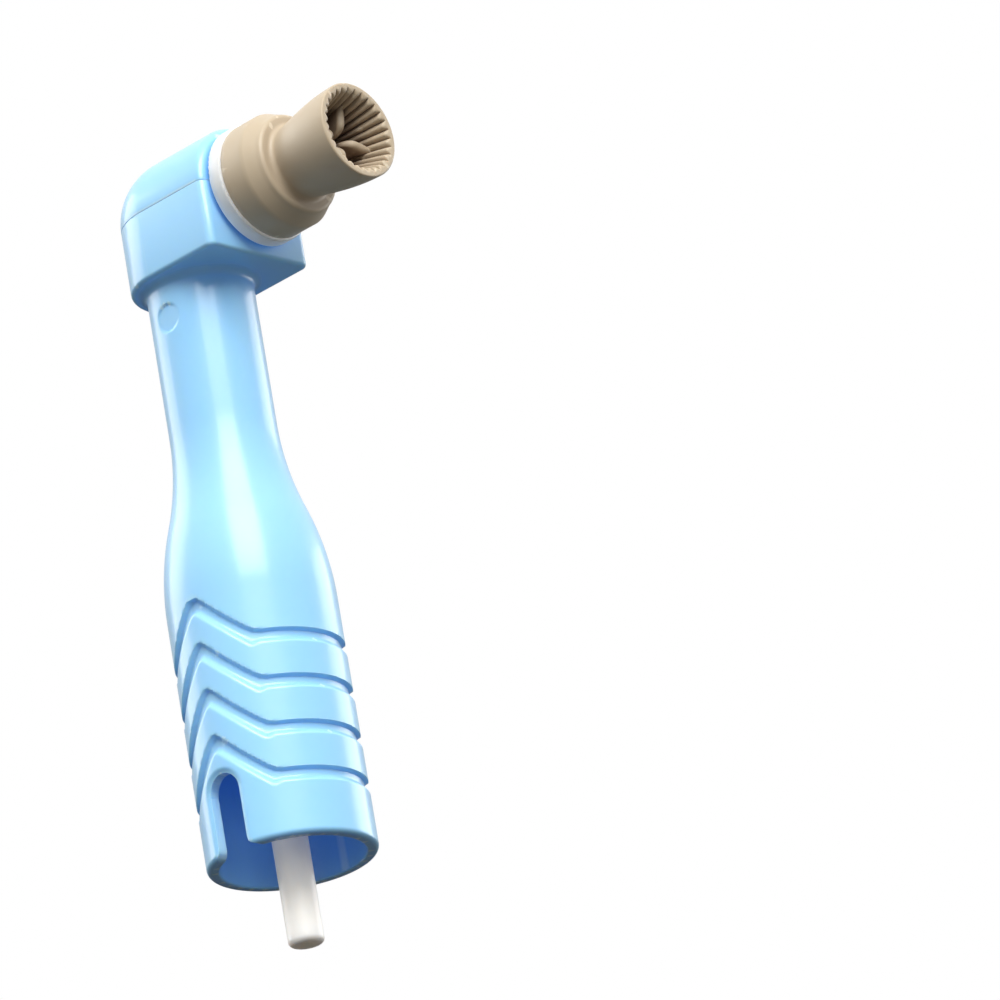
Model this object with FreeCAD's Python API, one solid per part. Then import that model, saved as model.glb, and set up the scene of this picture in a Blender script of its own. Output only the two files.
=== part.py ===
import FreeCAD, Part
import math
import os

# Disposable prophy angle, in millimetres.
# +Z runs up the handle towards the head, +X runs out along the cup's axis.
# The origin is the centre of the sleeve's open mouth.

V = FreeCAD.Vector
UP = V(0, 0, 1)
OUT = V(1, 0, 0)

# Sleeve that slides over the handpiece nose
SLEEVE_BORE_R = 4.74
SLEEVE_WALL = 0.81
SLEEVE_LENGTH = 17.2
MOUTH_ROUND = 0.35
SOCKET_DEPTH = 16.0
TAPER_LENGTH = 12.6

# Slot for the handpiece's locating pin, on the -Y side
SLOT_WIDTH = 2.56
SLOT_TOP = 5.3
SLOT_FLARE = 0.7

# Grip grooves: rings that rise to a 45 degree chevron on the -Y and +Y sides
GROOVE_COUNT = 4
GROOVE_FIRST_Z = 4.5
GROOVE_PITCH = 3.15
GROOVE_WIDTH = 0.9
GROOVE_DEPTH = 0.3
CHEVRON_HALF = 3.45

# Neck
NECK_WALL = 1.18
NECK_LENGTH = 10.2
BORE_LEAD = 0.4
DIMPLE_R = 0.95
DIMPLE_DEPTH = 0.16
DIMPLE_BELOW_HEAD = 2.7

# Head: half-round back, straight sides, flat front
HEAD_WALL = 0.8
GEAR_ROOM = 0.7
FRONT_WALL = 1.3
HEAD_CORNER = 0.6
HEAD_EDGE = 0.25
NECK_FILLET = 0.5
REAR_BOSS_R = 1.7
REAR_BOSS_LENGTH = 0.9
REAR_SKIN = 0.5
PEG_R = 0.4
PEG_LENGTH = 1.2

# Fits
RUNNING = 0.05
THRUST_GAP = 0.05
PEG_GAP = 0.02

# Bevel gears, axes at 90 degrees with one common apex
PINION_TEETH = 9
ROTOR_TEETH = 12
MODULE = 0.43
FACE_WIDTH = 1.15
PRESSURE_ANGLE = 25.0
ADDENDUM = 0.75
DEDENDUM = 0.95
TOOTH_THINNING = 0.05

# Drive shaft
SHANK_R = 1.175
SHANK_REACH = 5.55
SHANK_ROUND = 0.3
SHANK_TOP = 21.5
JOURNAL_R = 2.3
JOURNAL_LOWER_LENGTH = 3.5
JOURNAL_UPPER_LENGTH = 4.2
SHAFT_WAIST_R = 1.95
COLLAR_LIP = 0.7
COLLAR_THICK = 0.55
PINION_HUB_LENGTH = 0.435

# Rotor that carries the cup
ROTOR_JOURNAL_R = 1.9
ROTOR_PIN_R = 0.85
ROTOR_HUB_LIP = 0.45
ROTOR_HUB_LENGTH = 2.24
FLANGE_GAP = 0.29
FLANGE_LIP = 0.13
FLANGE_THICK = 1.03
FLANGE_ROUND = 0.12
BUTTON_STEM_R = 1.5
BUTTON_STEM_LENGTH = 1.2
BUTTON_HEAD_R = 2.2
BUTTON_HEAD_LENGTH = 1.1

# Cup, soft rubber
CUP_SKIRT_R = 3.98
CUP_SKIRT_LENGTH = 2.0
CUP_SHOULDER_R = 3.5
CUP_SHOULDER_LENGTH = 0.95
CUP_WAIST_R = 2.55
CUP_WAIST_ROUND = 0.35
CUP_RIM_R = 3.29
CUP_LENGTH = 8.83
CUP_RIM_WALL = 0.38
CUP_FLOOR_R = 1.75
CUP_DEPTH = 4.3
WEB_COUNT = 4
WEB_TURN = 9  # degrees from straight up towards +Y to the first web
WEB_THICK = 0.5
WEB_REACH = 2.6
WEB_BELOW_RIM = 1.4

# Radii that follow
SLEEVE_R = SLEEVE_BORE_R + SLEEVE_WALL
NECK_BORE_R = JOURNAL_R + RUNNING
NECK_R = NECK_BORE_R + NECK_WALL
COLLAR_R = JOURNAL_R + COLLAR_LIP
CAVITY_R = COLLAR_R + GEAR_ROOM
HEAD_R = CAVITY_R + HEAD_WALL
ROTOR_HUB_R = ROTOR_JOURNAL_R + ROTOR_HUB_LIP
FLANGE_R = CUP_SKIRT_R + FLANGE_LIP
PINION_PITCH_R = MODULE * PINION_TEETH / 2
ROTOR_PITCH_R = MODULE * ROTOR_TEETH / 2


def root_points(pitch_r, apex_depth):
    """Heel and toe of a gear's root cone, as (radius, depth from the apex)."""
    slant = math.hypot(pitch_r, apex_depth)
    cone = math.atan2(pitch_r, apex_depth)
    past = -MODULE * DEDENDUM
    heel = (pitch_r + past * math.cos(cone), apex_depth - past * math.sin(cone))
    toe = (slant - FACE_WIDTH) / slant
    return heel, (heel[0] * toe, heel[1] * toe)


# Heights and stations that follow
PINION_HEEL, PINION_TOE = root_points(PINION_PITCH_R, ROTOR_PITCH_R)
ROTOR_HEEL, ROTOR_TOE = root_points(ROTOR_PITCH_R, PINION_PITCH_R)
TAPER_TOP = SLEEVE_LENGTH + TAPER_LENGTH
HEAD_BOTTOM = TAPER_TOP + NECK_LENGTH
HEAD_FLOOR = HEAD_BOTTOM + HEAD_WALL
COLLAR_BASE = HEAD_FLOOR + THRUST_GAP
COLLAR_TOP = COLLAR_BASE + COLLAR_THICK
AXIS_Z = COLLAR_TOP + PINION_HUB_LENGTH + PINION_HEEL[1]
HEAD_LOWER_HEIGHT = AXIS_Z - HEAD_BOTTOM
HUB_FRONT = ROTOR_HEEL[1] + ROTOR_HUB_LENGTH
CAVITY_FRONT = HUB_FRONT + THRUST_GAP
HEAD_FRONT = CAVITY_FRONT + FRONT_WALL
FLANGE_BACK = HEAD_FRONT + FLANGE_GAP
FLANGE_FRONT = FLANGE_BACK + FLANGE_THICK
CUP_RIM = FLANGE_FRONT + CUP_LENGTH
LOWER_JOURNAL_BASE = TAPER_TOP - JOURNAL_LOWER_LENGTH


def spun(edges, centre, axis):
    """Solid of revolution of a closed half section."""
    return Part.Face(Part.Wire(edges)).revolve(centre, axis, 360)


def lathe_z(points):
    """Solid turned about Z from (radius, height) points."""
    path = [V(r, 0, z) for r, z in points]
    return spun(Part.makePolygon(path + path[:1]).Edges, V(0, 0, 0), UP)


def lathe_x(points):
    """Solid turned about the cup's axis from (station, radius) points."""
    path = [V(x, 0, AXIS_Z + r) for x, r in points]
    return spun(Part.makePolygon(path + path[:1]).Edges, V(0, 0, AXIS_Z), OUT)


def rod_x(radius, start, end):
    return Part.makeCylinder(radius, end - start, V(start, 0, AXIS_Z), OUT)


def arc(a, b, c):
    return Part.Arc(a, b, c).toShape()


def rounded(shape, radius, wanted):
    """Fillet every edge for which wanted(edge) is true."""
    edges = [e for e in shape.Edges if wanted(e)]
    return shape.makeFillet(radius, edges)


def is_circle(edge, radius, centre):
    if edge.Degenerated or not isinstance(edge.Curve, Part.Circle):
        return False
    curve = edge.Curve
    return abs(curve.Radius - radius) < 1e-4 and curve.Center.distanceToPoint(centre) < 1e-4


def handle_outside():
    """Sleeve and neck, joined by two equal tangent arcs."""
    drop = SLEEVE_R - NECK_R
    bend = (drop ** 2 + TAPER_LENGTH ** 2) / (4 * drop)
    half = math.atan2(TAPER_LENGTH / 2, bend - drop / 2) / 2
    dip = bend * (1 - math.cos(half))
    rise = bend * math.sin(half)
    middle = V((SLEEVE_R + NECK_R) / 2, 0, SLEEVE_LENGTH + TAPER_LENGTH / 2)
    low = V(SLEEVE_R, 0, SLEEVE_LENGTH)
    high = V(NECK_R, 0, TAPER_TOP)
    top = HEAD_BOTTOM + HEAD_WALL / 2
    edges = [
        Part.makeLine(V(0, 0, 0), V(SLEEVE_R, 0, 0)),
        Part.makeLine(V(SLEEVE_R, 0, 0), low),
        arc(low, V(SLEEVE_R - dip, 0, SLEEVE_LENGTH + rise), middle),
        arc(middle, V(NECK_R + dip, 0, TAPER_TOP - rise), high),
        Part.makeLine(high, V(NECK_R, 0, top)),
        Part.makeLine(V(NECK_R, 0, top), V(0, 0, top)),
        Part.makeLine(V(0, 0, top), V(0, 0, 0)),
    ]
    return spun(edges, V(0, 0, 0), UP)


def head_plan(radius, front, z, height):
    """Prism with a half-round back and a flat front."""
    corners = [V(0, -radius, z), V(front, -radius, z), V(front, radius, z), V(0, radius, z)]
    edges = Part.makePolygon(corners).Edges
    edges.append(arc(corners[3], V(-radius, 0, z), corners[0]))
    return Part.Face(Part.Wire(edges)).extrude(UP * height)


def is_front_corner(edge):
    return all(abs(v.X - HEAD_FRONT) < 1e-6 and abs(abs(v.Y) - HEAD_R) < 1e-6 for v in edge.Vertexes)


def head_block():
    """Lower half of the head, open at the top, with its outside edges rounded."""
    block = head_plan(HEAD_R, HEAD_FRONT, HEAD_BOTTOM, HEAD_LOWER_HEIGHT)
    block = rounded(block, HEAD_CORNER, is_front_corner)
    return rounded(block, HEAD_EDGE, lambda e: e.BoundBox.ZMax < HEAD_BOTTOM + 1e-6)


def neck_passages():
    """Socket for the handpiece, its narrowing, and the drive shaft's bearing bore."""
    bore_start = LOWER_JOURNAL_BASE - 1
    return lathe_z([
        (0, -1), (SLEEVE_BORE_R, -1), (SLEEVE_BORE_R, SOCKET_DEPTH),
        (NECK_BORE_R + BORE_LEAD, bore_start), (NECK_BORE_R, bore_start),
        (NECK_BORE_R, HEAD_FLOOR + 1), (0, HEAD_FLOOR + 1),
    ])


def rotor_bores():
    """Front journal bore and blind rear pivot bore, on the cup's axis."""
    front = rod_x(ROTOR_JOURNAL_R + RUNNING, CAVITY_FRONT - 1, HEAD_FRONT + 1)
    return front.fuse(rod_x(ROTOR_PIN_R + RUNNING, REAR_SKIN - HEAD_R, 0))


def rear_boss():
    """Thick spot in the back wall for the pivot, kept inside the wall's outer skin."""
    boss = rod_x(REAR_BOSS_R, -HEAD_R, -CAVITY_R + REAR_BOSS_LENGTH)
    return boss.common(Part.makeSphere(HEAD_R - HEAD_WALL / 2, V(0, 0, AXIS_Z)))


def groove(z):
    """One grip groove: a ring with a chevron, cut to the groove's floor."""
    reach = SLEEVE_R + 1
    upper = [(-reach, z), (-CHEVRON_HALF, z), (0, z + CHEVRON_HALF), (CHEVRON_HALF, z), (reach, z)]
    drop = GROOVE_WIDTH * math.sqrt(2)
    knee = CHEVRON_HALF + drop - GROOVE_WIDTH
    low = z - GROOVE_WIDTH
    lower = [(reach, low), (knee, low), (0, low + knee), (-knee, low), (-reach, low)]
    outline = [V(x, -reach, height) for x, height in upper + lower]
    band = Part.Face(Part.makePolygon(outline + outline[:1])).extrude(V(0, 2 * reach, 0))
    floor = Part.makeCylinder(SLEEVE_R - GROOVE_DEPTH, SLEEVE_LENGTH * 2, V(0, 0, -SLEEVE_LENGTH / 2))
    return band.cut(floor)


def pin_slot():
    """Round-topped slot in the sleeve's wall, flared at the mouth."""
    half = SLOT_WIDTH / 2
    top = SLOT_TOP - half
    wide = half + SLOT_FLARE
    round_in = SLOT_FLARE * (1 - math.sqrt(0.5))
    y = -SLEEVE_R - 1

    def at(x, z):
        return V(x, y, z)

    edges = [
        arc(at(-half, top), at(0, SLOT_TOP), at(half, top)),
        Part.makeLine(at(half, top), at(half, SLOT_FLARE)),
        arc(at(half, SLOT_FLARE), at(half + round_in, round_in), at(wide, 0)),
        Part.makeLine(at(wide, 0), at(wide, -1)),
        Part.makeLine(at(wide, -1), at(-wide, -1)),
        Part.makeLine(at(-wide, -1), at(-wide, 0)),
        arc(at(-wide, 0), at(-half - round_in, round_in), at(-half, SLOT_FLARE)),
        Part.makeLine(at(-half, SLOT_FLARE), at(-half, top)),
    ]
    return Part.Face(Part.Wire(edges)).extrude(V(0, SLEEVE_R, 0))


def dimple():
    """Shallow round flat left by the moulding gate, on the neck's -Y side."""
    centre = V(0, -NECK_R - 1, HEAD_BOTTOM - DIMPLE_BELOW_HEAD)
    return Part.makeCylinder(DIMPLE_R, 1 + DIMPLE_DEPTH, centre, V(0, 1, 0))


def peg_places():
    """Where the cap's two locating pegs stand, in the front wall beside the journal."""
    side = (ROTOR_JOURNAL_R + RUNNING + HEAD_R) / 2
    return [V(HEAD_FRONT - FRONT_WALL / 2, s * side, AXIS_Z) for s in (-1, 1)]


def body():
    shell = handle_outside()
    shell = rounded(shell, MOUTH_ROUND, lambda e: is_circle(e, SLEEVE_R, V(0, 0, 0)))
    for i in range(GROOVE_COUNT):
        shell = shell.cut(groove(GROOVE_FIRST_Z + i * GROOVE_PITCH))
    shell = shell.cut(dimple())
    shell = shell.fuse(head_block())
    shell = rounded(shell, NECK_FILLET, lambda e: is_circle(e, NECK_R, V(0, 0, HEAD_BOTTOM)))
    shell = shell.cut(head_plan(CAVITY_R, CAVITY_FRONT, HEAD_FLOOR, HEAD_LOWER_HEIGHT))
    upper_half = Part.makeBox(4 * HEAD_R, 4 * HEAD_R, 2 * HEAD_R, V(-2 * HEAD_R, -2 * HEAD_R, AXIS_Z))
    shell = shell.fuse(rear_boss().cut(upper_half))
    shell = shell.cut([neck_passages(), rotor_bores(), pin_slot()])
    for place in peg_places():
        depth = PEG_LENGTH + PEG_GAP
        shell = shell.cut(Part.makeCylinder(PEG_R + PEG_GAP, depth, place - UP * depth))
    return shell.removeSplitter()


def bullet(radius, front):
    """Round-nosed rod along the cup's axis, its nose at the head's back."""
    return rod_x(radius, 0, front).fuse(Part.makeSphere(radius, V(0, 0, AXIS_Z)))


def head_cap():
    dome = bullet(HEAD_R, HEAD_FRONT)
    dome = rounded(dome, HEAD_CORNER, lambda e: is_circle(e, HEAD_R, V(HEAD_FRONT, 0, AXIS_Z)))
    dome = dome.cut(bullet(CAVITY_R, CAVITY_FRONT)).fuse(rear_boss())
    size = 4 * HEAD_R
    upper_half = Part.makeBox(size, size, size, V(-size / 2, -size / 2, AXIS_Z))
    cap = dome.common(upper_half).cut(rotor_bores())
    for place in peg_places():
        cap = cap.fuse(Part.makeCylinder(PEG_R, PEG_LENGTH + HEAD_WALL / 2, place - UP * PEG_LENGTH))
    return cap.removeSplitter()


def flank(pitch_r, apex_depth):
    """Involute flank as (distance past the pitch cone, half angle about the gear's axis)."""
    cone = math.atan2(pitch_r, apex_depth)
    virtual_r = pitch_r / math.cos(cone)
    pressure = math.radians(PRESSURE_ANGLE)
    base_r = virtual_r * math.cos(pressure)
    at_pitch = math.pi * MODULE / 4 / virtual_r - TOOTH_THINNING / 2 / virtual_r
    points = []
    steps = 5
    for i in range(steps + 1):
        past = MODULE * (-DEDENDUM + (ADDENDUM + DEDENDUM) * i / steps)
        local = math.acos(min(1.0, base_r / (virtual_r + past)))
        grown = (math.tan(pressure) - pressure) - (math.tan(local) - local)
        points.append((past, (at_pitch + grown) / math.cos(cone)))
    return points


def bevel_teeth(pitch_r, apex_depth, teeth, turned):
    """Straight bevel teeth about Z with their apex at the origin and the gear below it."""
    slant = math.hypot(pitch_r, apex_depth)
    cone = math.atan2(pitch_r, apex_depth)
    toe = (slant - FACE_WIDTH) / slant

    def section(past, scale):
        radius = pitch_r + past * math.cos(cone)
        return V(radius * scale, 0, (past * math.sin(cone) - apex_depth) * scale)

    low, high = -MODULE * (DEDENDUM + 0.3), MODULE * (ADDENDUM + 0.3)
    corners = [section(low, 1), section(high, 1), section(high, toe), section(low, toe)]
    ring = spun(Part.makePolygon(corners + corners[:1]).Edges, V(0, 0, 0), UP)
    side = flank(pitch_r, apex_depth)
    side.insert(0, (low, side[0][1]))
    base_z = -2 * slant
    outline = []
    for sign, points in ((-1, side), (1, side[::-1])):
        for past, angle in points:
            p = section(past, 1)
            r = p.x * base_z / p.z
            outline.append(V(r * math.cos(sign * angle), r * math.sin(sign * angle), base_z))
    faces = [Part.Face(Part.makePolygon(outline + outline[:1]))]
    for a, b in zip(outline, outline[1:] + outline[:1]):
        faces.append(Part.Face(Part.makePolygon([V(0, 0, 0), a, b, V(0, 0, 0)])))
    tooth = Part.Solid(Part.Shell(faces)).common(ring)
    copies = []
    for i in range(teeth):
        copy = tooth.copy()
        copy.rotate(V(0, 0, 0), UP, turned + 360.0 * i / teeth)
        copies.append(copy)
    return copies


def drive_shaft():
    upper = COLLAR_BASE - JOURNAL_UPPER_LENGTH
    ease = JOURNAL_R - SHAFT_WAIST_R
    shaft = lathe_z([
        (0, -SHANK_REACH), (SHANK_R, -SHANK_REACH), (SHANK_R, SHANK_TOP),
        (JOURNAL_R, LOWER_JOURNAL_BASE), (JOURNAL_R, TAPER_TOP), (SHAFT_WAIST_R, TAPER_TOP + ease),
        (SHAFT_WAIST_R, upper - ease), (JOURNAL_R, upper), (JOURNAL_R, COLLAR_BASE),
        (COLLAR_R, COLLAR_BASE), (COLLAR_R, COLLAR_TOP), (PINION_HEEL[0], COLLAR_TOP),
        (PINION_HEEL[0], AXIS_Z - PINION_HEEL[1]), (PINION_TOE[0], AXIS_Z - PINION_TOE[1]),
        (0, AXIS_Z - PINION_TOE[1]),
    ])
    shaft = rounded(shaft, SHANK_ROUND, lambda e: is_circle(e, SHANK_R, V(0, 0, -SHANK_REACH)))
    teeth = bevel_teeth(PINION_PITCH_R, ROTOR_PITCH_R, PINION_TEETH, 0)
    for tooth in teeth:
        tooth.translate(UP * AXIS_Z)
    return shaft.fuse(teeth).removeSplitter()


def button():
    """Mushroom on the rotor's front, gripped by the cup."""
    neck_end = FLANGE_FRONT + BUTTON_STEM_LENGTH
    stem = rod_x(BUTTON_STEM_R, FLANGE_FRONT, neck_end)
    head = rod_x(BUTTON_HEAD_R, neck_end, neck_end + BUTTON_HEAD_LENGTH)
    return stem.fuse(head)


def rotor():
    pin_end = REAR_SKIN - HEAD_R + THRUST_GAP
    core = lathe_x([
        (pin_end, 0), (pin_end, ROTOR_PIN_R), (ROTOR_TOE[1], ROTOR_PIN_R), (ROTOR_TOE[1], ROTOR_TOE[0]),
        (ROTOR_HEEL[1], ROTOR_HEEL[0]), (ROTOR_HEEL[1], ROTOR_HUB_R), (HUB_FRONT, ROTOR_HUB_R),
        (HUB_FRONT, ROTOR_JOURNAL_R), (FLANGE_BACK, ROTOR_JOURNAL_R), (FLANGE_BACK, 0),
    ])
    flange = rod_x(FLANGE_R, FLANGE_BACK, FLANGE_FRONT)
    flange = rounded(flange, FLANGE_ROUND, lambda e: isinstance(e.Curve, Part.Circle))
    teeth = bevel_teeth(ROTOR_PITCH_R, PINION_PITCH_R, ROTOR_TEETH, 180.0 / ROTOR_TEETH)
    for tooth in teeth:
        tooth.rotate(V(0, 0, 0), V(0, 1, 0), -90)
        tooth.translate(UP * AXIS_Z)
    return core.fuse(teeth + [flange, button()]).removeSplitter()


def cup_outside():
    """Skirt, sloping shoulder, rounded waist and flared rim."""
    shoulder = FLANGE_FRONT + CUP_SKIRT_LENGTH
    shoulder_end = shoulder + CUP_SHOULDER_LENGTH
    corner = CUP_WAIST_ROUND
    waist = shoulder_end + 2 * corner
    diagonal = math.sqrt(0.5)

    def at(x, r):
        return V(x, 0, AXIS_Z + r)

    turn = at(shoulder_end + corner, CUP_SHOULDER_R - corner)
    foot = at(shoulder_end + corner, CUP_WAIST_R + corner)
    edges = [
        Part.makeLine(at(FLANGE_FRONT, 0), at(FLANGE_FRONT, CUP_SKIRT_R)),
        Part.makeLine(at(FLANGE_FRONT, CUP_SKIRT_R), at(shoulder, CUP_SKIRT_R)),
        Part.makeLine(at(shoulder, CUP_SKIRT_R), at(shoulder_end, CUP_SHOULDER_R)),
        arc(at(shoulder_end, CUP_SHOULDER_R),
            at(shoulder_end + corner * diagonal, CUP_SHOULDER_R - corner * (1 - diagonal)), turn),
    ]
    if turn.distanceToPoint(foot) > 1e-6:
        edges.append(Part.makeLine(turn, foot))
    edges += [
        arc(foot, at(waist - corner * diagonal, CUP_WAIST_R + corner * (1 - diagonal)),
            at(waist, CUP_WAIST_R)),
        Part.makeLine(at(waist, CUP_WAIST_R), at(CUP_RIM, CUP_RIM_R)),
        Part.makeLine(at(CUP_RIM, CUP_RIM_R), at(CUP_RIM, 0)),
        Part.makeLine(at(CUP_RIM, 0), at(FLANGE_FRONT, 0)),
    ]
    return spun(edges, V(0, 0, AXIS_Z), OUT)


def cup_hollow():
    mouth_r = CUP_RIM_R - CUP_RIM_WALL
    slope = (mouth_r - CUP_FLOOR_R) / CUP_DEPTH
    floor = CUP_RIM - CUP_DEPTH
    return lathe_x([(floor, 0), (floor, CUP_FLOOR_R), (CUP_RIM + 1, mouth_r + slope), (CUP_RIM + 1, 0)])


def prophy_cup():
    cup = cup_outside().cut(cup_hollow())
    for i in range(WEB_COUNT):
        inner = CUP_RIM_R - CUP_RIM_WALL / 2 - WEB_REACH
        web = Part.makeBox(CUP_DEPTH - WEB_BELOW_RIM, WEB_THICK, WEB_REACH,
                           V(CUP_RIM - CUP_DEPTH, -WEB_THICK / 2, AXIS_Z + inner))
        web.rotate(V(0, 0, AXIS_Z), OUT, -WEB_TURN - 360.0 * i / WEB_COUNT)
        cup = cup.fuse(web.common(cup_outside()))
    return cup.cut(button()).removeSplitter()


def write(name, shape):
    shape.exportStep("parts/" + name + ".step")
    print(name, "solids", len(shape.Solids), "valid", shape.isValid(), "mm3", round(shape.Volume, 2))


os.makedirs("parts", exist_ok=True)
write("body", body())
write("head_cap", head_cap())
write("drive_shaft", drive_shaft())
write("rotor", rotor())
write("prophy_cup", prophy_cup())
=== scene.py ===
import math

import bmesh
import bpy
from bpy.props import FloatProperty, FloatVectorProperty, IntProperty, PointerProperty
from mathutils import Matrix, Vector


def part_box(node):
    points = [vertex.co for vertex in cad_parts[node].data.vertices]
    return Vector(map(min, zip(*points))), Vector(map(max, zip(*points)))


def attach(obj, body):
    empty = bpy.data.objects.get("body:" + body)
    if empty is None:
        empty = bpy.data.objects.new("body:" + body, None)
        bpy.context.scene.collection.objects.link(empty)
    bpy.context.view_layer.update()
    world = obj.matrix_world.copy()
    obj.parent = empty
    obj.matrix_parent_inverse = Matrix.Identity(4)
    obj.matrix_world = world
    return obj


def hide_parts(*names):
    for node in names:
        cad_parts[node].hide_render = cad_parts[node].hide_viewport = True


bl_info = {
    "name": "Prophy Angle",
    "version": (1, 0, 0),
    "blender": (4, 5, 0),
    "location": "3D View > Sidebar > Prophy Angle",
    "description": "Builds a disposable prophy angle, its finishes and a plain studio around it",
    "category": "Object",
}

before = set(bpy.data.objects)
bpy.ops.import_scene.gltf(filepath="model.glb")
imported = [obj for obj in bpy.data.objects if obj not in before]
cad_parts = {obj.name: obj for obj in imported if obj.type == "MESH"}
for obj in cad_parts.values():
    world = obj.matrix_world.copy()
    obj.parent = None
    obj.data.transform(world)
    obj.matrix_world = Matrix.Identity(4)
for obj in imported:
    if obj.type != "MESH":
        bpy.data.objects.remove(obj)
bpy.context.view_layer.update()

MM = 0.001
SMALL = 1e-6
OVERCUT = 1 * MM  # how far a cutting shape reaches past what it cuts
BACK_SKIN = 0.5 * MM  # wall left behind the rotor's rear pivot
UP = Vector((0, 0, 1))
OUT = Vector((1, 0, 0))

BODY_LOW, BODY_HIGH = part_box("body")
CUP_LOW, CUP_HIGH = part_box("prophy_cup")

SLEEVE_R = -BODY_LOW.y
HEAD_FRONT = BODY_HIGH.x
AXIS_Z = BODY_HIGH.z
HEAD_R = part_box("head_cap")[1].y
CUP_BACK = CUP_LOW.x
CUP_RIM = CUP_HIGH.x
SKIRT_R = CUP_HIGH.z - AXIS_Z
SHANK_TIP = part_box("drive_shaft")[0].z
CUP_CENTRE = Vector((0, 0, AXIS_Z))


def length(name, text, default):
    return FloatProperty(name=name, description=text, default=default, min=0.0, precision=5, unit="LENGTH")


def colour(name, text, default):
    return FloatVectorProperty(name=name, description=text, default=default, size=4, min=0, max=1,
                               subtype="COLOR")


class HousingSizes(bpy.types.PropertyGroup):
    sleeve_bore: length("Sleeve bore", "Radius of the socket for the handpiece nose", 4.74 * MM)
    sleeve_length: length("Sleeve length", "Straight part of the sleeve", 17.2 * MM)
    socket_depth: length("Socket depth", "How far the handpiece nose goes in", 16.0 * MM)
    taper_length: length("Taper length", "Sleeve to neck, along the handle", 12.6 * MM)
    neck_radius: length("Neck radius", "Outside of the slim neck", 3.53 * MM)
    neck_bore: length("Neck bore", "Radius of the drive shaft's bearing", 2.35 * MM)
    head_height: length("Lower head height", "Underside of the head to the cup's axis", 4.66 * MM)
    head_wall: length("Head wall", "Wall round the gears", 0.8 * MM)
    front_wall: length("Front wall", "Wall that carries the cup's journal", 1.3 * MM)
    journal_bore: length("Journal bore", "Radius of the hole in the front wall", 1.95 * MM)
    pivot_bore: length("Pivot bore", "Radius of the blind hole in the back wall", 0.9 * MM)
    head_corner: length("Head corner", "Rounding of the head's front corners", 0.6 * MM)
    head_edge: length("Head lower edge", "Rounding of the head's lower edge", 0.3 * MM)
    neck_flare: length("Neck flare", "Fillet from the neck to the head", 0.6 * MM)
    parting: length("Parting edge", "Softened edge where body and cap meet", 0.07 * MM)
    mouth_round: length("Mouth rounding", "Outer edge of the sleeve's mouth", 0.35 * MM)
    groove_count: IntProperty(name="Grooves", description="Number of grip grooves", default=4, min=0)
    groove_first: length("First groove", "Height of the lowest groove's upper edge", 4.5 * MM)
    groove_pitch: length("Groove pitch", "Distance from groove to groove", 3.15 * MM)
    groove_width: length("Groove width", "Across the groove", 0.95 * MM)
    groove_depth: length("Groove depth", "Below the sleeve's surface", 0.3 * MM)
    chevron_half: length("Chevron half width", "From the chevron's point to the ring", 3.45 * MM)
    slot_width: length("Slot width", "Locating slot in the sleeve", 2.56 * MM)
    slot_top: length("Slot height", "Top of the locating slot", 5.3 * MM)
    slot_flare: length("Slot flare", "Rounding where the slot meets the mouth", 0.7 * MM)
    dimple_radius: length("Gate mark radius", "Round flat on the neck", 0.95 * MM)
    dimple_below: length("Gate mark distance", "From the head down to the mark's centre", 2.7 * MM)


class CupSizes(bpy.types.PropertyGroup):
    skirt_length: length("Skirt length", "Cylinder behind the shoulder", 2.0 * MM)
    shoulder_radius: length("Shoulder radius", "End of the sloping shoulder", 3.5 * MM)
    shoulder_length: length("Shoulder length", "Sloping shoulder", 0.95 * MM)
    waist_radius: length("Waist radius", "Narrowest part of the cup", 2.55 * MM)
    waist_round: length("Waist rounding", "Fillets above and below the waist's step", 0.35 * MM)
    rim_radius: length("Rim radius", "Outside of the cup's mouth", 3.29 * MM)
    rim_wall: length("Rim wall", "Flat lip round the mouth", 0.3 * MM)
    floor_radius: length("Floor radius", "Bottom of the cup's hollow", 1.75 * MM)
    depth: length("Depth", "Rim to the bottom of the hollow", 4.3 * MM)
    rib_count: IntProperty(name="Ribs", description="Fine ribs down the inner wall", default=30, min=3)
    rib_height: length("Rib height", "How far a rib stands into the cup", 0.3 * MM)
    web_count: IntProperty(name="Webs", description="Leaf-shaped webs inside the cup", default=4, min=0)
    web_thickness: length("Web thickness", "Thickest part of a web", 0.7 * MM)
    web_below: length("Web below rim", "From the rim down to a web's crest", 1.4 * MM)
    web_turn: FloatProperty(name="Web turn", description="First web, from straight up towards +Y",
                            default=math.radians(9), subtype="ANGLE")
    button_neck_radius: length("Button neck radius", "Neck of the rotor's button", 1.5 * MM)
    button_neck: length("Button neck length", "Flange to the button's head", 1.2 * MM)
    button_radius: length("Button radius", "Head of the rotor's button", 2.2 * MM)
    button_height: length("Button height", "Thickness of the button's head", 1.1 * MM)


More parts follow.
